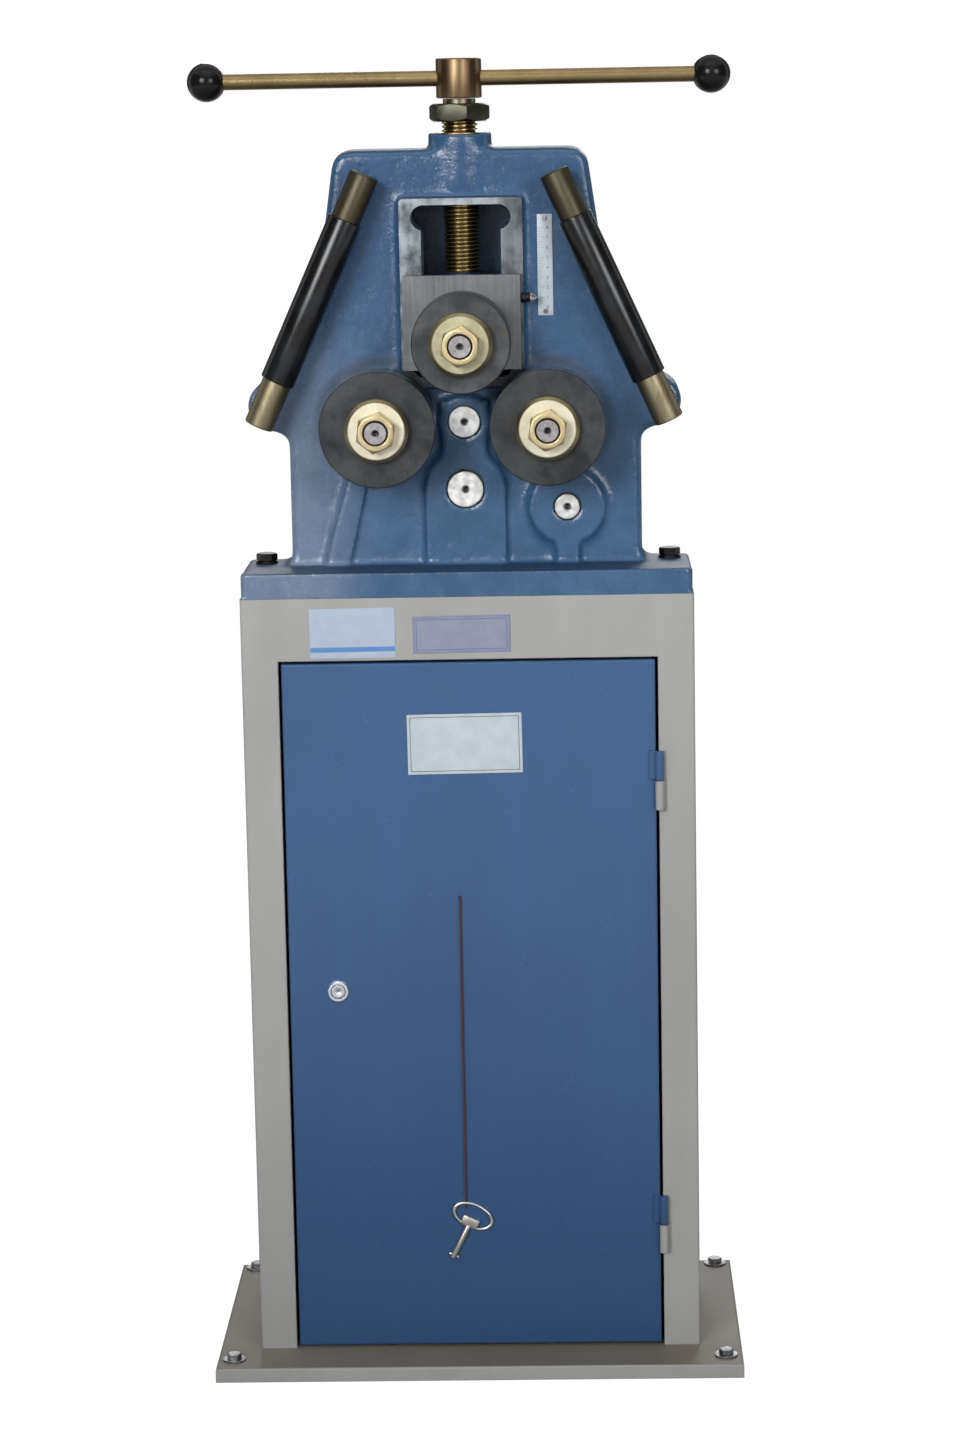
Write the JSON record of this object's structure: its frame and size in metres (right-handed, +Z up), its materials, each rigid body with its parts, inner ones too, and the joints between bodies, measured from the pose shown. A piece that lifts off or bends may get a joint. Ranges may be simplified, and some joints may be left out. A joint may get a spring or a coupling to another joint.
{
  "type": "ring roller",
  "caption": "Hand-cranked ring roller for bending bar and strip: screw-fed top roll over geared lower rolls, slanted side rollers, on a cabinet stand with a locking door.",
  "frame": {"origin": "centre of the base plate's underside, at floor level", "axes": "+X to the operator's right, +Y to the back of the machine, +Z up"},
  "size_m": [0.5476, 0.4165, 1.3467],
  "materials": {
    "grey_paint": "semi-gloss grey paint on sheet steel",
    "blue_paint": "gloss blue paint on sheet steel",
    "casting_paint": "gloss blue paint with a hammered look on cast iron",
    "zinc_steel": "zinc-plated steel",
    "black_steel": "black oxide on steel",
    "plate_metal": "plain satin plate without text",
    "yellow_zinc": "yellow-passivated zinc on turned steel",
    "bright_steel": "machined steel, lightly oiled",
    "gear_steel": "cut gear steel, oiled",
    "roll_steel": "turned dark steel, oiled",
    "screw_steel": "machined steel with worn thread",
    "bronze": "cast bronze bearing metal",
    "black_plastic": "gloss black moulding",
    "cord_fabric": "thin brown braided cord"
  },
  "bodies": {
    "stand": {"base_plate": "grey_paint", "floor_bolts": "zinc_steel", "washers": "zinc_steel", "cabinet_body": "grey_paint", "frame_hinges": "grey_paint", "name_plates": "plate_metal", "head_casting": "casting_paint", "head_bolts": "black_steel", "rear_cover": "casting_paint", "cap_screws": "black_steel", "shaft_bushes": "bronze", "idler_axle": "bright_steel", "scale_plate": "plate_metal", "scale_screws": "plate_metal", "screw_nut": "bronze", "rods": "yellow_zinc", "rod_spacers": "bright_steel"},
    "door": {"door_panel": "blue_paint", "door_hinges": "blue_paint", "door_label": "plate_metal", "lock_body": "zinc_steel", "key_cord": "cord_fabric", "key": "zinc_steel"},
    "lock": {"lock_core": "zinc_steel", "lock_cam": "zinc_steel"},
    "slide": {"slide_block": "bright_steel", "slide_keeper": "bright_steel", "slide_screws": "zinc_steel", "screw_retainer": "zinc_steel", "pointer": "bright_steel", "top_bushes": "bronze"},
    "screw": {"screw_spindle": "screw_steel", "jam_nut": "screw_steel", "handle_hub": "yellow_zinc", "handle_bar": "bright_steel", "ball_knobs": "black_plastic"},
    "upper_roll": {"top_shaft": "bright_steel", "top_roll": "roll_steel", "top_cap": "yellow_zinc", "top_nuts": "yellow_zinc"},
    "left_roll": {"left_shaft": "bright_steel", "left_front_disc": "roll_steel", "left_rear_disc": "roll_steel", "left_cap": "yellow_zinc", "left_nut": "yellow_zinc", "left_gear": "gear_steel"},
    "right_roll": {"right_shaft": "bright_steel", "right_front_disc": "roll_steel", "right_rear_disc": "roll_steel", "right_cap": "yellow_zinc", "right_nut": "yellow_zinc", "right_gear": "gear_steel"},
    "idler": {"idler_gear": "gear_steel"},
    "countershaft": {"layshaft": "bright_steel", "large_gear": "gear_steel"},
    "crank": {"crank_shaft": "bright_steel", "crank_arm": "black_steel"},
    "grip": {"crank_grip": "black_plastic"},
    "sleeve_left": {"left_sleeve": "black_steel"},
    "sleeve_right": {"right_sleeve": "black_steel"}
  },
  "joints": [
    {"name": "crank_spin", "type": "hinge", "parent": "stand", "child": "crank", "pos_m": [0.10321, 0, 0.89525], "axis": [0, 1, 0], "continuous": true},
    {"name": "countershaft_spin", "type": "hinge", "parent": "stand", "child": "countershaft", "pos_m": [0, 0, 0.91455], "axis": [0, 1, 0], "continuous": true},
    {"name": "idler_spin", "type": "hinge", "parent": "stand", "child": "idler", "pos_m": [0, 0, 0.9833], "axis": [0, 1, 0], "continuous": true},
    {"name": "left_roll_spin", "type": "hinge", "parent": "stand", "child": "left_roll", "pos_m": [-0.085, 0, 0.9833], "axis": [0, 1, 0], "continuous": true},
    {"name": "right_roll_spin", "type": "hinge", "parent": "stand", "child": "right_roll", "pos_m": [0.085, 0, 0.9833], "axis": [0, 1, 0], "continuous": true},
    {"name": "slide_travel", "type": "slide", "parent": "stand", "child": "slide", "axis": [0, 0, 1], "range_m": [-0.011, 0.069]},
    {"name": "screw_turn", "type": "hinge", "parent": "slide", "child": "screw", "pos_m": [0, -0.03, 1.2], "axis": [0, 0, 1], "range_deg": [-989, 6209]},
    {"name": "upper_roll_spin", "type": "hinge", "parent": "slide", "child": "upper_roll", "pos_m": [0, 0, 1.0672], "axis": [0, 1, 0], "continuous": true},
    {"name": "grip_spin", "type": "hinge", "parent": "crank", "child": "grip", "pos_m": [0.10321, 0, 0.64525], "axis": [0, 1, 0], "continuous": true},
    {"name": "left_sleeve_spin", "type": "hinge", "parent": "stand", "child": "sleeve_left", "pos_m": [-0.0942, -0.086, 1.2337], "axis": [-0.4128, 0, -0.9108], "continuous": true},
    {"name": "right_sleeve_spin", "type": "hinge", "parent": "stand", "child": "sleeve_right", "pos_m": [0.0942, -0.086, 1.2337], "axis": [0.4128, 0, -0.9108], "continuous": true},
    {"name": "door_swing", "type": "hinge", "parent": "stand", "child": "door", "pos_m": [0.1935, -0.1127, 0.4], "axis": [0, 0, 1], "range_deg": [0, 115]},
    {"name": "lock_turn", "type": "hinge", "parent": "door", "child": "lock", "pos_m": [-0.14, -0.1, 0.401], "axis": [0, 1, 0], "range_deg": [0, 90]}
  ],
  "couplings": [
    {"joint": "countershaft_spin", "follows": "crank_spin", "ratio": -0.44828},
    {"joint": "idler_spin", "follows": "crank_spin", "ratio": 0.5},
    {"joint": "left_roll_spin", "follows": "crank_spin", "ratio": -0.30952},
    {"joint": "right_roll_spin", "follows": "crank_spin", "ratio": -0.30952},
    {"joint": "slide_travel", "follows": "screw_turn", "m_per_rad": 0.00063662}
  ]
}
